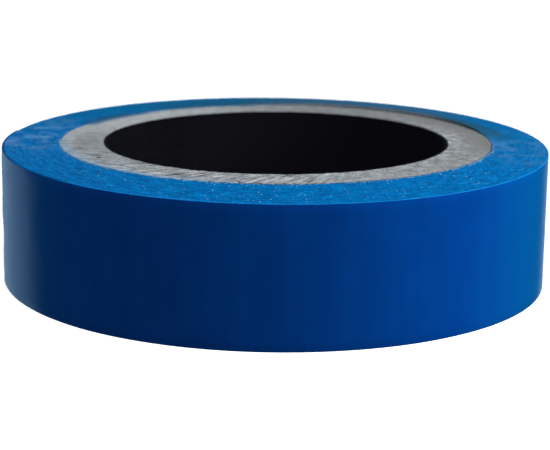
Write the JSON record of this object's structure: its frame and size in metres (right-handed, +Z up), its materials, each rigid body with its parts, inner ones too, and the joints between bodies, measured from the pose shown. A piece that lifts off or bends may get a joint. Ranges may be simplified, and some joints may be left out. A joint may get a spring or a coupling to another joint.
{
  "type": "electrical tape roll",
  "caption": "Roll of blue PVC electrical insulating tape, wound in a spiral on a thick grey paper core with a black-lined bore, with a free end that peels off the roll.",
  "frame": {"origin": "centre of the core's lower face, on the roll's axis, in the plane the roll rests on", "axes": "+Z up along the roll's axis, from the face it rests on to the opposite face, towards which the turns nearest the core are pushed 0.5 mm; -Y is the front, on the side where the free end leaves the roll"},
  "size_m": [0.0609, 0.0609, 0.0155],
  "materials": {
    "grey_board": "matte",
    "black_liner_paper": "matte",
    "blue_pvc_film": "satin"
  },
  "bodies": {
    "root": {"core_liner_ply": "black_liner_paper", "core_board_ply_1": "grey_board", "core_board_ply_2": "grey_board", "core_board_ply_3": "grey_board", "core_board_ply_4": "grey_board", "core_board_ply_5": "grey_board", "core_board_ply_6": "grey_board", "core_board_ply_7": "grey_board", "core_board_ply_8": "grey_board", "core_wrap_ply": "grey_board", "tape_inner_turns": "blue_pvc_film", "tape_outer_turn": "blue_pvc_film"},
    "tail_1": {"tape_tail_1": "blue_pvc_film"},
    "tail_2": {"tape_tail_2": "blue_pvc_film"},
    "tail_3": {"tape_tail_3": "blue_pvc_film"},
    "tail_4": {"tape_tail_4": "blue_pvc_film"},
    "tail_5": {"tape_tail_5": "blue_pvc_film"}
  },
  "joints": [
    {"name": "tail_peel", "type": "hinge", "parent": "root", "child": "tail_1", "pos_m": [-0.00788, -0.02942, 0.0075], "axis": [0, 0, 1], "range_deg": [0, 90]},
    {"name": "tail_bend_2", "type": "hinge", "parent": "tail_1", "child": "tail_2", "pos_m": [-0.01624, -0.02577, 0.0075], "axis": [0, 0, 1], "range_deg": [0, 17.2]},
    {"name": "tail_bend_3", "type": "hinge", "parent": "tail_2", "child": "tail_3", "pos_m": [-0.02315, -0.01981, 0.0075], "axis": [0, 0, 1], "range_deg": [0, 17.2]},
    {"name": "tail_bend_4", "type": "hinge", "parent": "tail_3", "child": "tail_4", "pos_m": [-0.02798, -0.01208, 0.0075], "axis": [0, 0, 1], "range_deg": [0, 17.2]},
    {"name": "tail_bend_5", "type": "hinge", "parent": "tail_4", "child": "tail_5", "pos_m": [-0.03031, -0.00326, 0.0075], "axis": [0, 0, 1], "range_deg": [0, 17.2]}
  ],
  "couplings": [
    {"joint": "tail_bend_2", "follows": "tail_peel", "ratio": 0.19},
    {"joint": "tail_bend_3", "follows": "tail_peel", "ratio": 0.19},
    {"joint": "tail_bend_4", "follows": "tail_peel", "ratio": 0.19},
    {"joint": "tail_bend_5", "follows": "tail_peel", "ratio": 0.19}
  ]
}
